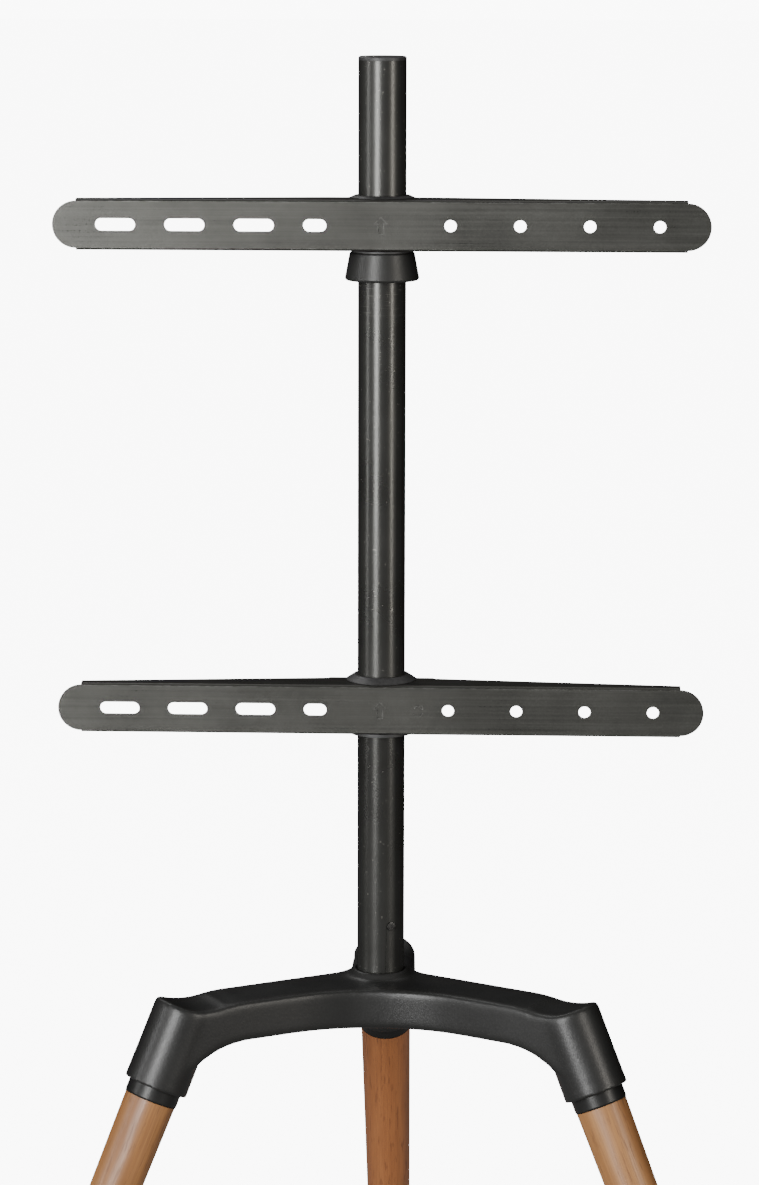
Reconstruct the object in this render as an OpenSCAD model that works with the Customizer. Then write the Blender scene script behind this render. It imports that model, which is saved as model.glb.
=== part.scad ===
// Floor-standing screen easel: a three-armed hub on splayed wooden legs, a steel
// pole, and two slotted rails that slide along the pole and turn about it.
// Millimetres, +Z up, front towards -Y, origin on the floor at the centre of the
// stand's outline. The pole stands at y = pole_y.

/* [Pole] */
// Outside radius of the pole
pole_r = 17.5; // [15:0.5:22]
// Wall of the pole
pole_wall = 2; // [1.5:0.5:3]
// Length of the pole from its seat in the hub
pole_len = 702; // [560:1:860]
// Thickness of the end cap's rim
cap_rim = 3; // [2:0.5:5]
// How far the pole sits down in the hub
pole_seat = 23; // [15:1:26]
// Height of the plug in the pole's foot
plug_len = 75; // [62:1:100]

/* [Hub] */
// Height of a hub arm
arm_h = 30; // [26:1:40]
// Half the width of a hub arm
arm_half_w = 23.2; // [20:0.1:28]
// Radius of the concave front between the two front arms
front_side_r = 123; // [90:1:150]
// Radius of the corners between the rear arm and a front arm
rear_side_r = 24; // [15:1:60]
// Length of the curve under an arm before it meets its socket
knee_run = 42; // [25:1:44]
// Drop of that curve below the arm
knee_drop = 15; // [8:1:20]
// Radius of the dip in an arm's top before its socket
dip_r = 44; // [30:1:70]
// Depth of that dip
dip_depth = 2.5; // [1:0.1:4]
// Height of the raised ring round the pole
ring_h = 6; // [3:1:9]

/* [Legs] */
// Lean of each leg from the vertical
splay = 24.4; // [18:0.1:30]
// Length of a leg from its socket's mouth to the floor
leg_len = 689; // [560:1:840]
// Distance of a front socket's mouth from the pole's axis
socket_reach = 185.6; // [165:0.1:225]
// Distance of the rear socket's mouth from the pole's axis
rear_reach = 104; // [96:1:200]
// Height of the hub's top over a socket's mouth
socket_drop = 60.5; // [52:0.5:72]
// Outside radius of a leg socket
socket_r = 23.7; // [22:0.1:28]
// Length of a leg socket
socket_len = 62; // [60:1:80]
// Radius of a leg below its ferrule
leg_top_r = 19.1; // [17:0.1:20]
// Radius of a leg at its foot
leg_foot_r = 11.5; // [9:0.5:15]
// Wall of a ferrule
ferrule_wall = 1.5; // [1:0.1:2]
// Length of a ferrule below its socket
ferrule_show = 10; // [6:1:16]
// Length of a ferrule inside its socket
ferrule_in = 42; // [30:1:44]
// Thickness of the rubber round a leg's foot
boot_wall = 3; // [2:0.5:5]
// Depth of the pocket that a leg stands in
boot_grip = 22; // [15:1:30]
// Length of rubber under a leg, along its axis
boot_sole = 14; // [12:1:20]

/* [Rails] */
// Length of pole over the upper rail's row of holes
stub_above = 120; // [115:1:160]
// Distance between the two rows of holes
rail_gap = 355; // [280:1:400]
// Length of a rail's face
rail_len = 474; // [430:1:540]
// Height of a rail over its bends
rail_h = 37; // [35:0.5:44]
// Height of a rail's rounded ends
rail_end_h = 34; // [32:0.5:35]
// Thickness of the rail's sheet
sheet = 2.5; // [2:0.1:3]
// Outer radius of the bends
bend_r = 3.5; // [3:0.1:4]
// Distance from the pole's axis to the rail's face
face_y = 26; // [24:0.5:32]
// Depth of a flange at the rail's ends
flange_end = 10; // [7:0.5:14]
// Depth of a flange at the middle of the rail
flange_mid = 29; // [28:0.5:33]
// Step between two screen holes
hole_step = 50; // [40:1:56]
// Radius of a screen hole
hole_r = 4.4; // [3:0.1:5]
// Half the height of a slot
slot_r = 4.5; // [3:0.1:5]
// Length of a long slot
slot_len = 29; // [20:1:34]
// Length of the slot next to the pole
short_slot_len = 16.8; // [12:0.1:20]
// How far a slot reaches outside the step it serves
slot_lead = 6; // [4:0.5:8]
// Depth of the pressed arrow marks
mark_depth = 0.7; // [0.3:0.1:0.8]

/* [Sleeves, keepers and collar] */
// Wall of a sleeve round the pole
sleeve_wall = 3; // [2:0.5:4]
// Reach of a keeper's ring outside its sleeve
keeper_wall = 6; // [4:0.5:8]
// Thickness of a keeper's ears
ear_t = 5; // [4:0.5:7]
// Distance of a keeper's screws from the pole's axis
screw_x = 34.5; // [32:0.5:36]
// Height of a keeper's screws from the middle of the rail
screw_z = 10.5; // [9:0.5:11]
// Radius of a keeper's screws
screw_r = 2.5; // [2:0.5:3]
// Height of the collar
collar_h = 20.5; // [18:0.5:30]
// Radius of the collar at its top
collar_top_r = 23.8; // [22.8:0.1:28]
// Radius of the collar at its foot
collar_foot_r = 27; // [25:0.5:33]
// Thickness of the washer on the collar
washer_t = 1.6; // [1:0.1:3]

/* [Fits] */
// Radial gap of pieces that slide or turn on each other
run_gap = 0.1; // [0.05:0.01:0.1]
// Gap between faces that pass each other
face_gap = 0.3; // [0.2:0.05:0.5]

/* [Hidden] */
$fn = 64;
eps = 0.01;
over = 1;                 // how far a cutter runs past the face that it cuts

// Where each leg points, seen from above
AZ_LEFT = 210;
AZ_RIGHT = 330;
AZ_REAR = 90;

// Heights and places that follow from the driving sizes
mouth_z = leg_len * cos(splay);
hub_top = mouth_z + socket_drop;
hub_foot = hub_top - arm_h;
seat_z = hub_top - pole_seat;
pole_top = seat_z + pole_len;
upper_z = pole_top + cap_rim - stub_above;
lower_z = upper_z - rail_gap;
function reach(a) = a == AZ_REAR ? rear_reach : socket_reach;
function foot_reach(a) = reach(a) + leg_len * sin(splay);
pole_y = (foot_reach(AZ_LEFT) * sin(30) - foot_reach(AZ_REAR)) / 2;  // puts the three feet's outline round the origin

// Hub details
function arm_end(a) = reach(a) - socket_drop * tan(splay);
boss_r = 15;
boss_h = 2;
bolt_r = 5;
bolt_head_r = 13;
bolt_head_h = 5;
bolt_grip = 30;           // bolt inside the plug
hex_key = 4.6;            // radius of the hex recess in a bolt's head
hex_depth = 4;
plug_gap = 0.1;
side_screw_az = -62;
side_screw_z = hub_top + 41;
side_screw_r = 2;
side_screw_head_r = 3.2;
side_screw_sink = 0.5;
grub_r = 3;
insert_r = 8;
insert_len = 15;
stud_r = 5;
stud_in_leg = 34;
thread_gap = 0.1;

// Leg details
ferrule_r = leg_top_r + 0.65;
ferrule_roof = 2;
tenon_r = ferrule_r - ferrule_wall - run_gap;
tenon_top = ferrule_in - ferrule_roof - run_gap;
leg_foot = boot_sole - leg_len;                 // lower end of the wood along the leg's axis

// Bracket details
notch_r = pole_r + run_gap + sleeve_wall + run_gap;
sleeve_r = notch_r - run_gap;
keeper_r = notch_r + keeper_wall;
half_h = rail_h / 2;
back_y = flange_mid - face_y;                   // back edge of a flange at the middle
ear_x = screw_x + 5;                           // clear of the slot and hole next to the pole
keeper_y = back_y + run_gap;
nut_r = screw_r * 1.85;
nut_h = screw_r * 1.6;
head_r = screw_r * 1.8;
head_h = screw_r * 1.2;
tab_h = rail_h - 2 * sheet;
collar_top = -half_h - 2 * face_gap - washer_t; // measured from the upper rail's middle
lip_h_upper = 1.6;
lip_h_lower = 4;
foot_lip_h = 2.5;

function polar(r, a) = [r * cos(a), r * sin(a)];
function on_arm(s, off, a) = polar(s, a) + polar(off, a + 90);
function arc(c, r, a0, a1, n) = [for (i = [0:n]) c + polar(r, a0 + (a1 - a0) * i / n)];

module at_pole(z = 0) translate([0, pole_y, z]) children();

// The leg's own frame: +Z runs up its axis, with the origin in its socket's mouth
module at_leg(a) at_pole(mouth_z) rotate([0, 0, a]) translate([reach(a), 0, 0]) rotate([0, -splay, 0]) children();

module ring(r_out, r_in, h) difference() {
    cylinder(r = r_out, h = h);
    translate([0, 0, -over]) cylinder(r = r_in, h = h + 2 * over);
}

// ---- hub ----

// Outline of the three arms: a concave arc in each gap, then the end of the next arm
function hub_outline() = [
    for (b = [30, 150, 270]) let (r = b == 270 ? front_side_r : rear_side_r, s = arm_end(b + 60)) each concat(
        arc(polar((arm_half_w + r) / cos(30), b), r, b + 210, b + 150, b == 270 ? 16 : 8),
        [on_arm(s, -arm_half_w, b + 60), on_arm(s, arm_half_w, b + 60)])];

// Side view of the metal between an arm and its socket, up to the socket's axis, [distance from the pole, height]
function knee_outline(a) =
    let (wall = socket_r / cos(splay),
        end = arm_end(a) + (arm_h + knee_drop) * tan(splay) - wall * 0.6,
        r = (knee_run * knee_run + knee_drop * knee_drop) / (2 * knee_drop),
        turn = asin(knee_run / r))
    concat([[arm_end(a), hub_top - dip_depth / 2], [end - knee_run, hub_foot + over]],
        arc([end - knee_run, hub_foot - r], r, 90, 90 - turn, 12),
        [[arm_end(a) + (arm_h + knee_drop) * tan(splay), hub_foot - knee_drop]]);

// Side view of what is cut off above an arm's dip and its socket's slanted top
function crown_outline(a) =
    let (s0 = reach(a) - socket_len * sin(splay), z0 = socket_len * cos(splay) - socket_drop,
        z1 = dip_r * (1 - cos(splay)) - dip_depth,
        s1 = s0 + (z1 - z0) / tan(splay),
        mid = [s1 - dip_r * sin(splay), dip_r - dip_depth])
    concat(arc(mid, dip_r, 270 - acos(1 - dip_depth / dip_r), 270 + splay, 14),
        [[s1 + 60, z1 + 60 * tan(splay)], [s1 + 60, 90], [mid[0] - sqrt(2 * dip_r * dip_depth - dip_depth * dip_depth), 90]]);

module crown_cut(a) at_pole(hub_top) rotate([90, 0, a]) translate([0, 0, -40]) linear_extrude(80)
    polygon(crown_outline(a));

module knee(a) at_pole() rotate([90, 0, a]) translate([0, 0, -arm_half_w + 0.1])
    linear_extrude(2 * (arm_half_w - 0.1)) polygon(knee_outline(a));

module hub_casting() color([0.12, 0.12, 0.12]) difference() {
    union() {
        at_pole(hub_foot) linear_extrude(arm_h) polygon(hub_outline());
        at_pole(hub_top - over) cylinder(r1 = pole_r + 8, r2 = pole_r + 2.5, h = ring_h + over);
        at_pole(hub_foot - boss_h) cylinder(r = boss_r, h = boss_h + over);
        for (a = [AZ_LEFT, AZ_RIGHT, AZ_REAR]) {
            at_leg(a) cylinder(r = socket_r, h = socket_len + 14);
            knee(a);
        }
    }
    at_pole(seat_z) cylinder(r = pole_r + run_gap, h = pole_seat + ring_h + over);
    at_pole(hub_foot - boss_h - over) cylinder(r = bolt_r + thread_gap, h = arm_h);
    for (a = [AZ_LEFT, AZ_RIGHT, AZ_REAR]) crown_cut(a);
    for (a = [AZ_LEFT, AZ_RIGHT, AZ_REAR]) at_leg(a) {
        translate([0, 0, -over]) cylinder(r = ferrule_r + run_gap, h = ferrule_in + over);
        translate([0, 0, ferrule_in - over]) cylinder(r = insert_r, h = insert_len + over);
    }
}

// ---- pole ----

module side_hole(r) at_pole(side_screw_z) rotate([0, 90, side_screw_az]) cylinder(r = r, h = pole_r + over);

module pole_tube() color([0.16, 0.16, 0.15]) difference() {
    at_pole(seat_z) ring(pole_r, pole_r - pole_wall, pole_len);
    side_hole(side_screw_r + thread_gap);
    at_pole(side_screw_z) rotate([0, 90, side_screw_az]) translate([0, 0, pole_r - side_screw_sink])
        cylinder(r = side_screw_head_r + thread_gap, h = over);
}

module pole_plug() color("dimgray") difference() {
    at_pole(seat_z) cylinder(r = pole_r - pole_wall - plug_gap, h = plug_len);
    at_pole(seat_z - over) cylinder(r = bolt_r + thread_gap, h = bolt_grip + 2 * over);
    side_hole(side_screw_r + thread_gap);
}

module pole_cap() color([0.1, 0.1, 0.1]) at_pole(pole_top) difference() {
    union() {
        cylinder(r = pole_r, h = cap_rim - 1);
        translate([0, 0, cap_rim - 1]) cylinder(r1 = pole_r, r2 = pole_r - 1, h = 1);
        translate([0, 0, -15]) cylinder(r = pole_r - pole_wall - plug_gap, h = 15 + eps);
    }
    translate([0, 0, -15 - over]) cylinder(r = pole_r - pole_wall - 2, h = 15 + over);
}

module pole_base_bolt() color("dimgray") at_pole(hub_foot - boss_h) difference() {
    union() {
        translate([0, 0, -bolt_head_h]) cylinder(r = bolt_head_r, h = bolt_head_h);
        translate([0, 0, -eps]) cylinder(r = bolt_r, h = seat_z - hub_foot + boss_h + bolt_grip);
    }
    translate([0, 0, -bolt_head_h - eps]) cylinder(r = hex_key, h = hex_depth, $fn = 6);
}

module pole_side_screw() color("dimgray") at_pole(side_screw_z) rotate([0, 90, side_screw_az]) difference() {
    union() {
        translate([0, 0, pole_r - 12]) cylinder(r = side_screw_r, h = 12);
        translate([0, 0, pole_r - side_screw_sink]) cylinder(r = side_screw_head_r, h = side_screw_sink + 0.8);
    }
    translate([0, 0, pole_r + 0.2]) cylinder(r = 1.4, h = 1, $fn = 6);
}

// ---- legs ----

module leg(a) color([0.62, 0.36, 0.18]) at_leg(a) difference() {
    union() {
        translate([0, 0, leg_foot]) cylinder(r1 = leg_foot_r, r2 = leg_top_r, h = -ferrule_show - leg_foot);
        translate([0, 0, -ferrule_show - eps]) cylinder(r = tenon_r, h = ferrule_show + tenon_top + eps);
    }
    translate([0, 0, tenon_top - stud_in_leg]) cylinder(r = stud_r + thread_gap, h = stud_in_leg + over);
}

module leg_ferrule(a) color([0.08, 0.08, 0.08]) at_leg(a) difference() {
    translate([0, 0, -ferrule_show]) cylinder(r = ferrule_r, h = ferrule_show + ferrule_in - run_gap);
    translate([0, 0, -ferrule_show - over])
        cylinder(r = tenon_r + run_gap, h = ferrule_show + over + ferrule_in - ferrule_roof);
    cylinder(r = stud_r + thread_gap, h = ferrule_in + over);
}

module leg_stud(a) color("silver") at_leg(a) translate([0, 0, tenon_top - stud_in_leg + over])
    cylinder(r = stud_r, h = stud_in_leg - tenon_top + ferrule_in + insert_len - 2 * over);

module socket_insert(a) color("silver") at_leg(a) translate([0, 0, ferrule_in])
    ring(insert_r - eps, stud_r + thread_gap, insert_len - eps);

// Rubber boot on a leg's end, cut flat by the floor
module foot(a) color([0.09, 0.09, 0.09]) difference() {
    at_leg(a) translate([0, 0, -leg_len - boot_sole]) difference() {
        union() {
            cylinder(r = leg_foot_r + boot_wall + 0.5, h = 2 * boot_sole + boot_grip - 2);
            translate([0, 0, 2 * boot_sole + boot_grip - 2])
                cylinder(r1 = leg_foot_r + boot_wall + 0.5, r2 = leg_foot_r + boot_wall - 1, h = 2);
        }
        translate([0, 0, 2 * boot_sole])
            cylinder(r = leg_foot_r + boot_grip * (leg_top_r - leg_foot_r) / leg_len + 0.2, h = boot_grip + over);
    }
    at_pole() rotate([0, 0, a]) translate([foot_reach(a) - 60, -60, -80]) cube([120, 120, 80]);
}

// ---- collar ----

function collar_outline() = [
    [pole_r + run_gap, 0], [collar_foot_r - 2, 0],
    each arc([collar_foot_r - 2, 2], 2, -75, 5, 6),
    each arc([collar_top_r - 1.5, collar_h - 1.5], 1.5, 10, 85, 6),
    [collar_top_r - 2, collar_h], [pole_r + run_gap, collar_h]];

module height_collar() color([0.13, 0.13, 0.13]) difference() {
    at_pole(upper_z + collar_top - collar_h) rotate_extrude() polygon(collar_outline());
    at_pole(upper_z + collar_top - collar_h / 2) rotate([-90, 0, 0])
        cylinder(r = grub_r + thread_gap, h = collar_foot_r + over);
}

module collar_grub_screw() color("dimgray") at_pole(upper_z + collar_top - collar_h / 2)
    rotate([-90, 0, 0]) difference() {
        translate([0, 0, pole_r + run_gap]) cylinder(r = grub_r, h = 6);
        translate([0, 0, pole_r + 3]) cylinder(r = 1.7, h = 4, $fn = 6);
    }

module glide_washer() color([0.2, 0.2, 0.2]) at_pole(upper_z + collar_top)
    ring(sleeve_r + 1.5, pole_r + run_gap, washer_t);

// ---- sleeves ----

module sleeve(z, lip_r, lip_h, foot_r, foot_h) color([0.1, 0.1, 0.1]) difference() {
    at_pole(z) union() {
        translate([0, 0, -half_h - face_gap]) cylinder(r = sleeve_r, h = rail_h + 2 * face_gap);
        translate([0, 0, half_h + face_gap]) cylinder(r1 = lip_r, r2 = sleeve_r - 0.6, h = lip_h);
        if (foot_h > 0) translate([0, 0, -half_h - face_gap - foot_h]) cylinder(r = foot_r, h = foot_h);
    }
    at_pole(z - rail_h) cylinder(r = pole_r + run_gap, h = 2 * rail_h);
    at_pole(z - rail_h) translate([-1, 0, 0]) cube([2, 2 * sleeve_r, 2 * rail_h]);
}

module upper_sleeve() sleeve(upper_z, sleeve_r + 3, lip_h_upper, 0, 0);
module lower_sleeve() sleeve(lower_z, sleeve_r + 5.5, lip_h_lower, sleeve_r + 3, foot_lip_h);

// ---- rails ----

// Cross-section of the bent sheet, [depth behind the face, height]
function channel_outline() = let (d = flange_mid, q = bend_r, h = half_h, t = sheet) concat(
    arc([q, h - q], q, 180, 90, 6), [[d, h], [d, h - t]],
    arc([q, h - q], q - t, 90, 180, 4),
    arc([q, q - h], q - t, 180, 270, 4), [[d, t - h], [d, -h]],
    arc([q, q - h], q, 270, 180, 6));

// Outline of the flanges from above: shallow at the ends, deep round the pole
module flange_plan() let (x = (rail_len - rail_end_h) / 2)
    polygon([[-x, -face_y - over], [x, -face_y - over], [x, flange_end - face_y], [ear_x, back_y],
        [-ear_x, back_y], [-x, flange_end - face_y]]);

module slot_cut(x0, len) for (x = [x0 + slot_r, x0 + len - slot_r])
    translate([x, 0, 0]) cylinder(r = slot_r, h = 3 * bend_r);

module slot_body(x0, len) translate([x0 + slot_r, -slot_r, 0]) cube([len - 2 * slot_r, 2 * slot_r, 3 * bend_r]);

// Everything cut through the face, drawn flat with +Z through the sheet
module face_cuts() {
    for (i = [1:4]) translate([i * hole_step, 0, 0]) cylinder(r = hole_r, h = 3 * bend_r);
    for (i = [1:4]) {
        slot_cut(-i * hole_step - slot_lead, i == 1 ? short_slot_len : slot_len);
        slot_body(-i * hole_step - slot_lead, i == 1 ? short_slot_len : slot_len);
    }
}

module arrow_mark() linear_extrude(mark_depth + over)
    polygon([[0, 6], [4.6, 1], [1.9, 1], [1.9, -6], [-1.9, -6], [-1.9, 1], [-4.6, 1]]);

module turn_mark() linear_extrude(mark_depth + over) for (a = [0, 180]) rotate(a)
    polygon(concat(arc([0, 0], 4.2, 20, 150, 8), arc([0, 0], 3.1, 150, 20, 8)));

// The bracket's tabs hold the keeper's screws between the two flanges
module tabs() translate([-ear_x, back_y - sheet, -tab_h / 2 - eps]) cube([2 * ear_x, sheet, tab_h + 2 * eps]);

module screw_places() for (x = [-screw_x, screw_x], z = [-screw_z, screw_z]) translate([x, 0, z]) children();

module rail(z, with_turn_mark) color([0.22, 0.22, 0.21]) at_pole(z) difference() {
    union() {
        intersection() {
            translate([-rail_len / 2, -face_y, 0]) rotate([90, 0, 90])
                linear_extrude(rail_len) polygon(channel_outline());
            translate([0, 0, -rail_h]) linear_extrude(2 * rail_h) flange_plan();
        }
        translate([0, -face_y + sheet, 0]) rotate([90, 0, 0]) linear_extrude(sheet) {
            square([rail_len - rail_end_h, rail_end_h], center = true);
            for (s = [-1, 1]) translate([s * (rail_len - rail_end_h) / 2, 0]) circle(r = rail_end_h / 2);
        }
        tabs();
    }
    translate([0, 0, -rail_h]) cylinder(r = notch_r, h = 2 * rail_h);
    translate([-notch_r, 0, -rail_h]) cube([2 * notch_r, 2 * notch_r, 2 * rail_h]);
    translate([0, -face_y + 2 * bend_r, 0]) rotate([90, 0, 0]) face_cuts();
    screw_places() rotate([-90, 0, 0]) cylinder(r = screw_r + thread_gap, h = flange_mid, center = true);
    translate([0, -face_y + mark_depth, 0]) rotate([90, 0, 0]) arrow_mark();
    if (with_turn_mark) translate([28, -face_y + mark_depth, 0]) rotate([90, 0, 0]) turn_mark();
}

module upper_rail() rail(upper_z, false);
module lower_rail() rail(lower_z, true);

// ---- keepers and their fasteners ----

module keeper(z) color([0.11, 0.11, 0.11]) at_pole(z) difference() {
    union() {
        translate([0, 0, -half_h + face_gap]) cylinder(r = keeper_r, h = rail_h - 2 * face_gap);
        translate([-ear_x, keeper_y, -half_h + face_gap]) cube([2 * ear_x, ear_t, rail_h - 2 * face_gap]);
    }
    translate([0, 0, -rail_h]) cylinder(r = notch_r, h = 2 * rail_h);
    translate([-rail_len / 2, keeper_y - rail_len, -rail_h]) cube([rail_len, rail_len, 2 * rail_h]);
    screw_places() rotate([-90, 0, 0]) cylinder(r = screw_r + thread_gap, h = 2 * flange_mid);
}

module keeper_screws(z) color("silver") at_pole(z) screw_places() rotate([-90, 0, 0]) difference() {
    union() {
        translate([0, 0, back_y - sheet - nut_h - over])
            cylinder(r = screw_r, h = sheet + nut_h + over + run_gap + ear_t + eps);
        translate([0, 0, keeper_y + ear_t]) cylinder(r1 = head_r, r2 = head_r - 0.8, h = head_h);
    }
    translate([0, 0, keeper_y + ear_t + head_h - 1.6]) cylinder(r = 1.6, h = 2, $fn = 6);
}

module keeper_nuts(z) color("silver") at_pole(z) screw_places() rotate([-90, 0, 0])
    translate([0, 0, back_y - sheet - nut_h]) difference() {
        cylinder(r = nut_r, h = nut_h, $fn = 6);
        translate([0, 0, -over]) cylinder(r = screw_r + thread_gap, h = nut_h + 2 * over);
    }

hub_casting();
pole_tube();
pole_plug();
pole_cap();
pole_base_bolt();
pole_side_screw();
leg(AZ_LEFT);  // leg_left
leg(AZ_RIGHT);  // leg_right
leg(AZ_REAR);  // leg_rear
leg_ferrule(AZ_LEFT);  // leg_ferrule_left
leg_ferrule(AZ_RIGHT);  // leg_ferrule_right
leg_ferrule(AZ_REAR);  // leg_ferrule_rear
leg_stud(AZ_LEFT);  // leg_stud_left
leg_stud(AZ_RIGHT);  // leg_stud_right
leg_stud(AZ_REAR);  // leg_stud_rear
socket_insert(AZ_LEFT);  // socket_insert_left
socket_insert(AZ_RIGHT);  // socket_insert_right
socket_insert(AZ_REAR);  // socket_insert_rear
foot(AZ_LEFT);  // foot_left
foot(AZ_RIGHT);  // foot_right
foot(AZ_REAR);  // foot_rear
height_collar();
collar_grub_screw();
glide_washer();
upper_rail();
upper_sleeve();
upper_keeper();
keeper_screws(upper_z);  // upper_keeper_screws
keeper_nuts(upper_z);  // upper_keeper_nuts
lower_sleeve();
lower_rail();
lower_keeper();
keeper_screws(lower_z);  // lower_keeper_screws
keeper_nuts(lower_z);  // lower_keeper_nuts

module upper_keeper() keeper(upper_z);
module lower_keeper() keeper(lower_z);
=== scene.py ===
import math
import bpy
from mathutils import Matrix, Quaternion, Vector


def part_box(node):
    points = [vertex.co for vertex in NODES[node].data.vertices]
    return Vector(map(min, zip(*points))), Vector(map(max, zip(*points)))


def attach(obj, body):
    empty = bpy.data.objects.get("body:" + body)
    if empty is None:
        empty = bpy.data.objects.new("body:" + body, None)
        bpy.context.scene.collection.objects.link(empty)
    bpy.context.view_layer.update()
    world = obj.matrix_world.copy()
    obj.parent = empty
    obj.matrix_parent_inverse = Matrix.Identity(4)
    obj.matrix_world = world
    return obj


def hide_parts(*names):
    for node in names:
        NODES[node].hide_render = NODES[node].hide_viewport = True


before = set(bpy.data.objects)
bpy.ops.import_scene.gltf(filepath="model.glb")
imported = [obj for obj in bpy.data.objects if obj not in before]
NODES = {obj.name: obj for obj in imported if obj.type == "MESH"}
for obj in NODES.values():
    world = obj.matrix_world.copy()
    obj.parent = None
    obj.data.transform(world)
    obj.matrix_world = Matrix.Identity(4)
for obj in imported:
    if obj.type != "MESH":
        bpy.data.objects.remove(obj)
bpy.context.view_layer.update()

UP = Vector((0, 0, 1))

# The stand's main places, in metres and degrees
POLE_Y = sum(v.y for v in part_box("pole_tube")) / 2
RAIL_Z = sum(v.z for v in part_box("upper_rail")) / 2
LEGS = {"left": 210, "right": 330, "rear": 90}            # azimuth of each leg
REACH = {"left": 0.1856, "right": 0.1856, "rear": 0.104}  # from the pole to each socket's mouth
SPLAY = 24.4                                              # lean of the legs
MOUTH_Z = 0.62746                                         # height of the sockets' mouths
HUB_TOP = MOUTH_Z + 0.0605                                # height of the arms' flat top
SOCKET_R = 0.0237                                         # outer radius of a socket


def outward(side):
    """Level direction from the pole to a leg."""
    az = math.radians(LEGS[side])
    return Vector((math.cos(az), math.sin(az), 0))


def socket(side):
    """Middle of a socket's mouth, and the socket's axis, which points up into the hub."""
    lean = math.radians(SPLAY)
    mouth = Vector((0, POLE_Y, MOUTH_Z)) + outward(side) * REACH[side]
    return mouth, UP * math.cos(lean) - outward(side) * math.sin(lean)


def clamp(x):
    return max(0.0, min(1.0, x))


# ---- materials ----

class Mat:
    """A node material with helpers; textures are laid out in metres in the object's own frame."""

    def __init__(self, name, base, rough, metallic=0.0, specular=0.5):
        self.m = bpy.data.materials.new(name)
        self.m.use_nodes = True
        self.t = self.m.node_tree
        self.p = self.t.nodes["Principled BSDF"]
        self.p.inputs["Base Color"].default_value = (*base, 1)
        self.p.inputs["Roughness"].default_value = rough
        self.p.inputs["Metallic"].default_value = metallic
        self.p.inputs["Specular IOR Level"].default_value = specular
        self.coord = self.t.nodes.new("ShaderNodeTexCoord").outputs["Object"]
        self.normal = None

    def node(self, kind, inputs=(), **props):
        n = self.t.nodes.new(kind)
        for k, v in props.items():
            setattr(n, k, v)
        for k, v in dict(inputs).items():
            if isinstance(v, bpy.types.NodeSocket):
                self.t.links.new(v, n.inputs[k])
            else:
                n.inputs[k].default_value = v
        return n

    def place(self, scale=(1, 1, 1), at=(0, 0, 0), turn=(0, 0, 0)):
        """Coordinates in a frame that stands at a place and is turned; scale then squeezes the pattern."""
        v = self.node("ShaderNodeMapping", {"Vector": self.coord, "Location": at, "Rotation": turn},
                      vector_type="TEXTURE").outputs[0]
        return self.node("ShaderNodeMapping", {"Vector": v, "Scale": scale}).outputs[0]

    def noise(self, scale, vec=None, detail=3.0, rough=0.5, distort=0.0):
        inputs = {"Vector": vec or self.coord, "Scale": scale, "Detail": detail, "Roughness": rough,
                  "Distortion": distort}
        return self.node("ShaderNodeTexNoise", inputs).outputs["Fac"]

    def span(self, fac, lo, hi, a=0.3, b=0.7):
        """Stretches the range a to b over lo to hi, and holds it there outside."""
        inputs = {"Value": fac, "From Min": a, "From Max": b, "To Min": lo, "To Max": hi}
        return self.node("ShaderNodeMapRange", inputs).outputs[0]

    def calc(self, op, a, b=0.0):
        return self.node("ShaderNodeMath", {0: a, 1: b}, operation=op).outputs[0]

    def ramp(self, fac, stops):
        r = self.node("ShaderNodeValToRGB", {"Fac": fac})
        e = r.color_ramp.elements
        while len(e) < len(stops):
            e.new(0.5)
        for s, (pos, col) in zip(e, stops):
            s.position, s.color = pos, (*col, 1)
        return r.outputs["Color"]

    def mix(self, fac, a, b, kind="MIX"):
        n = self.t.nodes.new("ShaderNodeMix")
        n.data_type, n.blend_type = "RGBA", kind
        factor, first, second, result = 0, 6, 7, 2  # the Mix node's sockets for colours
        for i, v in ((factor, fac), (first, a), (second, b)):
            if isinstance(v, bpy.types.NodeSocket):
                self.t.links.new(v, n.inputs[i])
            else:
                n.inputs[i].default_value = v if i == factor else (*v, 1)
        return n.outputs[result]

    def bump(self, height, distance, strength=1.0):
        args = {"Height": height, "Distance": distance, "Strength": strength}
        if self.normal is not None:
            args["Normal"] = self.normal
        self.normal = self.node("ShaderNodeBump", args).outputs[0]
        self.t.links.new(self.normal, self.p.inputs["Normal"])

    def set(self, name, socket):
        self.t.links.new(socket, self.p.inputs[name])

    def edges(self, amount, width=0.0012):
        """A mask that is 1 where paint would wear off an edge; the lighter colour laid there is also a
        painted highlight on the edge.
        """
        b = self.node("ShaderNodeBevel", {"Radius": width}, samples=4).outputs[0]
        g = self.node("ShaderNodeNewGeometry").outputs["Normal"]
        d = self.node("ShaderNodeVectorMath", {0: b, 1: g}, operation="DOT_PRODUCT").outputs["Value"]
        patches = self.span(self.noise(160), 0, 1, 0.42, 0.6)
        wear_and_highlight = self.calc("MULTIPLY", self.span(d, 1, 0, 0.9, 0.995), patches)
        return self.calc("MULTIPLY", wear_and_highlight, amount)


def shade(colour, k):
    return tuple(min(1, c * k) for c in colour)


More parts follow.
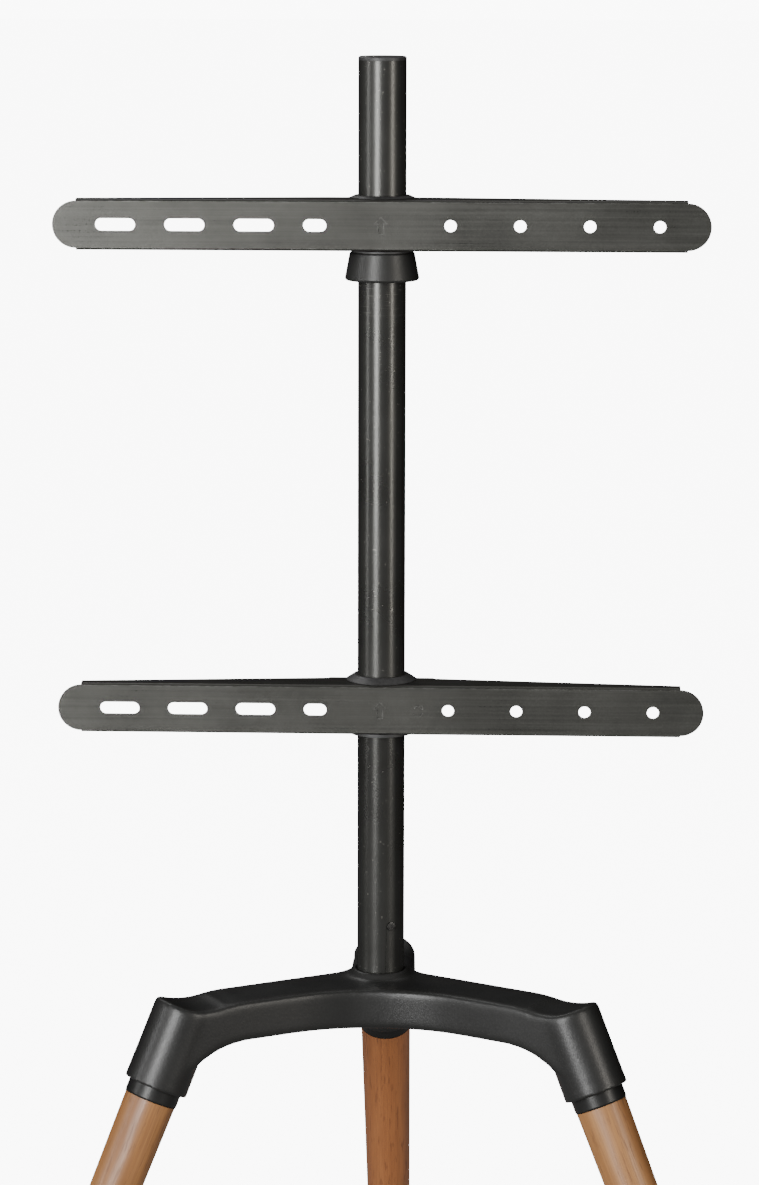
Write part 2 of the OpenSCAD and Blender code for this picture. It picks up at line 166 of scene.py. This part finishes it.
def coat(name, base, rough, metallic, peel=0.00006, specular=0.5, brush=None, edge=0.35,
         wear_and_highlight=(0.10, 0.10, 0.095)):
    """Satin coat: orange peel, a slow change of sheen, fine dust and edges where the paint wears off;
    their lighter colour is also a painted highlight on the edges.
    """
    m = Mat(name, base, rough, metallic, specular)
    m.bump(m.noise(620, detail=2.0), peel)
    m.bump(m.noise(2600, detail=2.0), peel * 0.35)
    sheen = m.noise(16, detail=4.0, rough=0.6)
    fine = m.noise(900, detail=2.0)
    r = m.calc("ADD", m.span(sheen, rough - 0.05, rough + 0.05), m.span(fine, -0.02, 0.03))
    col = m.mix(m.span(sheen, 0.0, 1.0), shade(base, 0.9), shade(base, 1.12))
    if brush:
        streak = m.noise(1.0, m.place(brush), detail=4.0, rough=0.65)
        m.bump(streak, 0.00005, 0.5)
        col = m.mix(m.span(streak, 0.0, 0.55), col, shade(base, 1.45))
        r = m.calc("ADD", r, m.span(streak, -0.03, 0.05))
    # painted highlight: the lighter edge colour stands for wear and also for light caught on the edges
    m.set("Base Color", m.mix(m.edges(edge), col, wear_and_highlight))
    m.set("Roughness", r)
    return m


def wood(side):
    """Stained beech: grain runs along the leg, with short dark flecks and pores under a satin lacquer."""
    at = socket(side)[0]
    turn = (0, math.radians(-SPLAY), math.radians(LEGS[side]))
    m = Mat("stained_wood_" + side, (0.34, 0.15, 0.06), 0.34)
    ring = m.noise(1.0, m.place((34, 34, 2.2), at, turn), detail=3.0, rough=0.5, distort=0.9)
    band = m.ramp(ring, [(0.30, (0.150, 0.046, 0.014)), (0.47, (0.265, 0.094, 0.030)),
                         (0.60, (0.330, 0.126, 0.043)), (0.74, (0.215, 0.072, 0.022))])
    fibre = m.noise(1.0, m.place((900, 900, 16), at, turn), detail=3.0, rough=0.7)
    band = m.mix(m.span(fibre, 0.0, 0.55, 0.35, 0.65), band, (0.125, 0.038, 0.012))
    fleck = m.noise(1.0, m.place((520, 520, 60), at, turn), detail=2.0, rough=0.5)
    flecks = m.span(fleck, 0.0, 0.7, 0.60, 0.68)
    band = m.mix(flecks, band, (0.085, 0.026, 0.009))
    blotch = m.noise(1.0, m.place((16, 16, 5), at, turn), detail=3.0)
    band = m.mix(m.span(blotch, 0.0, 0.35), band, (0.36, 0.140, 0.048))
    if side != "rear":  # painted light: the front pair, lit more strongly than the rear leg, is coloured lighter
        band = m.mix(1.0, band, (1.10, 1.40, 1.50), "MULTIPLY")
    m.set("Base Color", band)
    m.set("Roughness", m.calc("ADD", m.span(fibre, 0.38, 0.48), m.calc("MULTIPLY", flecks, 0.12)))
    m.bump(fibre, 0.00004, 0.7)
    m.bump(flecks, -0.00005, 0.6)
    m.bump(m.noise(140, detail=2.0), 0.00004, 0.4)
    m.p.inputs["Coat Weight"].default_value = 0.06
    m.p.inputs["Coat Roughness"].default_value = 0.34
    return m


def plain_metal(name, base, rough, turned):
    m = Mat(name, base, rough, 1.0)
    s = m.noise(1.0, m.place(turned), detail=3.0)
    m.set("Roughness", m.span(s, rough - 0.08, rough + 0.1))
    m.set("Base Color", m.mix(m.span(m.noise(220), 0.0, 0.5), base, shade(base, 0.75)))
    m.bump(s, 0.00003, 0.6)
    return m


def rubbery(name, base, rough, grain):
    m = Mat(name, base, rough)
    m.bump(m.noise(grain, detail=3.0), 0.00012, 0.8)
    m.bump(m.noise(70, detail=2.0), 0.0002, 0.3)
    m.set("Roughness", m.span(m.noise(45, detail=4.0), rough - 0.08, rough + 0.07))
    m.set("Base Color", m.mix(m.span(m.noise(300), 0.0, 0.5), base, shade(base, 2.2)))
    return m


def pole_coat():
    """The pole's coat, scuffed in short rings just under the collar, where the collar was moved."""
    m = Mat("pole_coat", (0.062, 0.062, 0.058), 0.28, 0.7)
    m.bump(m.noise(620, detail=2.0), 0.00004)
    streak = m.noise(1.0, m.place((900, 900, 5)), detail=3.0, rough=0.6)
    sheen = m.noise(14, detail=4.0, rough=0.6)
    m.bump(streak, 0.00003, 0.5)
    col = m.mix(m.span(sheen, 0.0, 1.0), (0.043, 0.043, 0.040), (0.055, 0.055, 0.052))
    z = m.node("ShaderNodeSeparateXYZ", {"Vector": m.coord}).outputs["Z"]
    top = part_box("height_collar")[0].z
    near = m.calc("MULTIPLY", m.span(z, 0, 1, top - 0.030, top - 0.008), m.span(z, 1, 0, top, top + 0.06))
    ring = m.noise(1.0, m.place((55, 55, 1500)), detail=2.0, rough=0.6)
    marks = m.calc("MULTIPLY", m.span(ring, 0, 0.6, 0.62, 0.70), near)
    speck = m.calc("MULTIPLY", m.span(m.noise(420, detail=2.0), 0, 1, 0.70, 0.74), 0.35)
    marks = m.calc("MAXIMUM", marks, speck)
    m.set("Base Color", m.mix(marks, col, (0.30, 0.29, 0.26)))
    m.set("Roughness", m.calc("ADD", m.span(sheen, 0.25, 0.33), m.calc("MULTIPLY", marks, 0.2)))
    m.bump(marks, -0.00004, 0.6)
    return m


CAST = coat("cast_satin", (0.016, 0.016, 0.0155), 0.40, 0.2, peel=0.00009, specular=0.55, edge=0.25)
# the rail's edges get a light grey: wear, and also a painted highlight on the edges
RAIL = coat("rail_coat", (0.052, 0.052, 0.047), 0.335, 0.65, peel=0.00004, brush=(7, 900, 900), edge=0.4,
            wear_and_highlight=(0.22, 0.22, 0.21))
KEEPER = coat("keeper_coat", (0.035, 0.035, 0.034), 0.42, 0.55, edge=0.3)
COLLAR = coat("collar_coat", (0.030, 0.030, 0.029), 0.38, 0.55, edge=0.3)
FERRULE = coat("ferrule_coat", (0.020, 0.020, 0.0195), 0.36, 0.5, peel=0.00003, edge=0.3)
POLE = pole_coat()
PLASTIC = rubbery("black_plastic", (0.022, 0.022, 0.022), 0.50, 1400)
RUBBER = rubbery("foot_rubber", (0.020, 0.020, 0.020), 0.72, 2200)
STEEL = plain_metal("zinc_steel", (0.62, 0.62, 0.61), 0.30, (700, 700, 60))
DARK_STEEL = plain_metal("blackened_steel", (0.07, 0.07, 0.07), 0.40, (600, 600, 60))
ALLOY = plain_metal("turned_alloy", (0.60, 0.60, 0.61), 0.35, (60, 60, 1500))
BRASS = plain_metal("insert_brass", (0.66, 0.48, 0.20), 0.32, (60, 60, 1200))
WOOD = {side: wood(side) for side in LEGS}

# The finish of each CAD node; the hub is replaced and gets its own below
LOOK = {"pole_tube": POLE, "pole_plug": ALLOY, "pole_cap": PLASTIC, "pole_base_bolt": STEEL,
        "pole_side_screw": DARK_STEEL, "height_collar": COLLAR, "collar_grub_screw": DARK_STEEL,
        "glide_washer": PLASTIC}
for side in LEGS:
    LOOK["leg_" + side] = WOOD[side]
    LOOK["leg_ferrule_" + side] = FERRULE
    LOOK["leg_stud_" + side] = STEEL
    LOOK["socket_insert_" + side] = BRASS
    LOOK["foot_" + side] = RUBBER
for level in ("upper", "lower"):
    LOOK[level + "_rail"] = RAIL
    LOOK[level + "_sleeve"] = PLASTIC
    LOOK[level + "_keeper"] = KEEPER
    LOOK[level + "_keeper_screws"] = STEEL
    LOOK[level + "_keeper_nuts"] = STEEL


# ---- the shapes ----

def weld(o):
    """Joins the corners that a CAD mesh repeats in each of its faces."""
    o.modifiers.new("weld", "WELD").merge_threshold = 1e-5


def dress(o, look, width):
    """Soft edges and a finish on a piece, with its corners left where they are."""
    o.data.materials.clear()
    o.data.materials.append(look.m)
    for poly in o.data.polygons:
        poly.use_smooth = True
    weld(o)
    bevel = o.modifiers.new("bevel", "BEVEL")
    bevel.width = width
    bevel.segments = 3
    bevel.limit_method = "ANGLE"
    bevel.angle_limit = math.radians(32)
    bevel.use_clamp_overlap = True
    bevel.harden_normals = True
    bevel.miter_outer = "MITER_ARC"
    normals = o.modifiers.new("normals", "WEIGHTED_NORMAL")
    normals.keep_sharp = False
    normals.weight = 80


# Width of the softened edges; small pieces that aren't named here get the plain one
PLAIN_EDGE = 0.0003
EDGE = {"pole_tube": 0.0004, "pole_cap": 0.0007, "height_collar": 0.0008, "upper_rail": 0.0004,
        "lower_rail": 0.0004, "upper_keeper": 0.0012, "lower_keeper": 0.0012}
for side in LEGS:
    EDGE["leg_" + side] = 0.0006
    EDGE["foot_" + side] = 0.0008
    EDGE["leg_ferrule_" + side] = 0.0014

for name, node in NODES.items():
    if name != "hub_casting":
        dress(node, LOOK[name], EDGE.get(name, PLAIN_EDGE))


# ---- the hub: a casting, so its faces run into each other with a radius ----

def bake(o):
    """Puts what an object's modifiers make into its own mesh."""
    bpy.context.view_layer.update()
    o.data = bpy.data.meshes.new_from_object(o.evaluated_get(bpy.context.evaluated_depsgraph_get()))
    o.modifiers.clear()


def remesh(o):
    """An even mesh, which smoothing can round."""
    weld(o)
    grid = o.modifiers.new("remesh", "REMESH")
    grid.mode = "VOXEL"
    grid.voxel_size = 0.0013
    grid.use_smooth_shade = True
    bake(o)


def fillet_dips(o):
    """Each arm's top runs down into its dip with a fillet."""
    run = 0.017                            # length of the fillet on each side of the dip's start
    fall = math.tan(math.radians(19.4))    # slope at which the dip starts
    back = 0.0463                          # from over the socket's mouth to the dip's start
    fade_from, fade_run, half_width = 0.012, 0.009, 0.03
    for v in o.data.vertices:
        for side in LEGS:
            p = v.co - Vector((0, POLE_Y, HUB_TOP))
            along = p.dot(outward(side))
            x = abs(along - (REACH[side] - back))
            if x < run and (p - outward(side) * along).xy.length < half_width:
                v.co.z -= fall / (4 * run) * (run - x) ** 2 * clamp((p.z + fade_from) / fade_run)


def smooth(o, name, times, group=""):
    s = o.modifiers.new(name, "SMOOTH")
    s.factor = 0.5
    s.iterations = times
    s.vertex_group = group


def mark_arms(o):
    """Weights for the second smoothing: none at the sockets' mouths and at the pole's ring."""
    arms = o.vertex_groups.new(name="arms")
    crisp, blend, reach = 0.012, 0.014, 0.03   # of a socket: left crisp, then blended, within this radius
    ring, ring_blend = 0.020, 0.008            # the same about the pole
    for v in o.data.vertices:
        weight = clamp((math.hypot(v.co.x, v.co.y - POLE_Y) - ring) / ring_blend)
        for side in LEGS:
            mouth, axis = socket(side)
            up = (v.co - mouth).dot(axis)
            if (v.co - mouth - axis * up).length < reach:
                weight = min(weight, clamp((up - crisp) / blend))
        arms.add([v.index], weight, "REPLACE")


def true_mouths(o):
    """The sockets' mouths are machined: flat, round and with a small radius at the rim."""
    rim = 0.0011
    snap = 0.0015                              # farthest that a corner is taken back to a true surface
    below, above, inward = 0.0012, 0.006, 0.0038
    for side in LEGS:
        mouth, axis = socket(side)
        for v in o.data.vertices:
            up = (v.co - mouth).dot(axis)
            spoke = v.co - mouth - axis * up
            deep = SOCKET_R - spoke.length
            if not (-below < up < above and -snap < deep < inward):
                continue
            if up < rim and deep < rim:
                k = rim / math.hypot(rim - up, rim - deep)
                up = rim - (rim - up) * k
                deep = rim - (rim - deep) * k
            elif up < deep:
                up = 0.0 if up < snap else up
            else:
                deep = 0.0 if deep < snap else deep
            v.co = mouth + axis * up + spoke.normalized() * (SOCKET_R - deep)


def cast_hub():
    o = bpy.data.objects.new("hub_cast_body", NODES["hub_casting"].data.copy())
    bpy.context.scene.collection.objects.link(o)
    o.data.materials.clear()
    o.data.materials.append(CAST.m)
    remesh(o)
    mark_arms(o)
    fillet_dips(o)
    smooth(o, "soften", 10)
    smooth(o, "blend", 40, "arms")
    bake(o)
    true_mouths(o)
    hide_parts("hub_casting")
    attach(o, "stand")


cast_hub()


# ---- studio ----

# A piece of the studio is seen either by the camera alone or by reflections alone
ONLY_SEEN = {"visible_diffuse": False, "visible_glossy": False, "visible_shadow": False}
ONLY_MIRRORED = {"visible_camera": False, "visible_diffuse": False, "visible_shadow": False}
MIDDLE = (0, POLE_Y, 0.9)  # what the lights at the sides point at


def set_up(o, name, look, seen):
    o.name = name
    o.data.materials.append(look.m)
    for key, value in seen.items():
        setattr(o, key, value)


def sheet(name, size, at, turn, look, seen):
    bpy.ops.mesh.primitive_plane_add(size=1, location=at, rotation=[math.radians(d) for d in turn])
    bpy.context.object.scale = (*size, 1)
    set_up(bpy.context.object, name, look, seen)


def white_paper(name):
    m = Mat(name, (0.86, 0.86, 0.86), 0.9)
    m.p.inputs["Emission Color"].default_value = (1, 1, 1, 1)
    return m


def floor_and_backdrop():
    floor = white_paper("floor_paper")
    speckle = floor.noise(60, detail=4.0)
    floor.set("Base Color", floor.mix(speckle, (0.85, 0.85, 0.85), (0.87, 0.87, 0.87)))
    floor.p.inputs["Emission Strength"].default_value = 9.0
    sheet("studio_floor", (120, 120), (0, 0, 0), (0, 0, 0), floor, ONLY_SEEN)
    backdrop = white_paper("backdrop_paper")
    backdrop.set("Emission Strength", backdrop.span(backdrop.noise(3), 9.4, 9.7))
    bpy.ops.mesh.primitive_uv_sphere_add(segments=48, ring_count=24, radius=55)
    set_up(bpy.context.object, "studio_backdrop", backdrop, ONLY_SEEN)


def flags():
    """Black cloths that keep the metal's edges dark."""
    cloth = Mat("flag_cloth", (0.01, 0.01, 0.01), 1.0, specular=0.0)
    high = 1.3
    sheet("flag_back", (5.0, 2.6), (0, 1.7, high), (90, 0, 0), cloth, ONLY_MIRRORED)
    sheet("flag_left", (2.6, 2.6), (-1.6, 0.75, high), (90, 0, 90), cloth, ONLY_MIRRORED)
    sheet("flag_right", (2.6, 2.6), (1.6, 0.75, high), (90, 0, 90), cloth, ONLY_MIRRORED)


def softbox(name, at, aim, size, watts, colour=(1, 1, 1)):
    lamp = bpy.data.lights.new(name, "AREA")
    lamp.shape = "RECTANGLE"
    lamp.size, lamp.size_y = size
    lamp.energy = watts
    lamp.color = colour
    o = bpy.data.objects.new(name, lamp)
    bpy.context.scene.collection.objects.link(o)
    o.location = at
    o.rotation_mode = "QUATERNION"
    o.rotation_quaternion = (Vector(aim) - Vector(at)).to_track_quat("-Z", "Y")


def lights():
    softbox("key", (-1.24, -2.80, 1.50), (0, POLE_Y, 0.92), (0.75, 2.2), 128)
    softbox("side", (-2.7, -0.9, 1.3), MIDDLE, (0.5, 1.8), 30)
    softbox("strip", (2.0, -1.65, 1.4), MIDDLE, (0.20, 1.9), 30, (1.0, 0.95, 0.88))
    softbox("top", (0.3, 0.9, 3.4), (0, 0, 0.7), (2.2, 1.4), 6)
    softbox("behind", (-1.3, 2.0, 3.5), (0, 0, 0.8), (1.2, 1.6), 22)
    world = bpy.data.worlds.new("studio")
    world.use_nodes = True
    sky = world.node_tree.nodes["Background"].inputs
    sky["Color"].default_value = (1, 1, 1, 1)
    sky["Strength"].default_value = 0.23
    bpy.context.scene.world = world


floor_and_backdrop()
flags()
lights()


# ---- camera ----

AZIMUTH = 2.17     # degrees round the pole from straight in front
DISTANCE = 2.760   # metres from the pole
RISE = 0.216       # metres above the upper rail
PITCH = 10.02      # degrees downward
YAW = 0.029        # degrees aside from the pole
ROLL = -0.122      # degrees


def camera():
    cam = bpy.data.objects.new("camera", bpy.data.cameras.new("camera"))
    bpy.context.scene.collection.objects.link(cam)
    cam.data.lens = 115.6
    cam.data.sensor_width = 36
    cam.data.clip_start = 0.1
    cam.data.clip_end = 2000
    a = math.radians(AZIMUTH)
    cam.location = (DISTANCE * math.sin(a), POLE_Y - DISTANCE * math.cos(a), RAIL_Z + RISE)
    heading = math.radians(AZIMUTH + YAW)
    down = math.radians(PITCH)
    level = Vector((-math.sin(heading), math.cos(heading), 0))
    ahead = level * math.cos(down) - UP * math.sin(down)
    cam.rotation_mode = "QUATERNION"
    cam.rotation_quaternion = Quaternion(ahead, math.radians(ROLL)) @ ahead.to_track_quat("-Z", "Y")
    bpy.context.scene.camera = cam


camera()
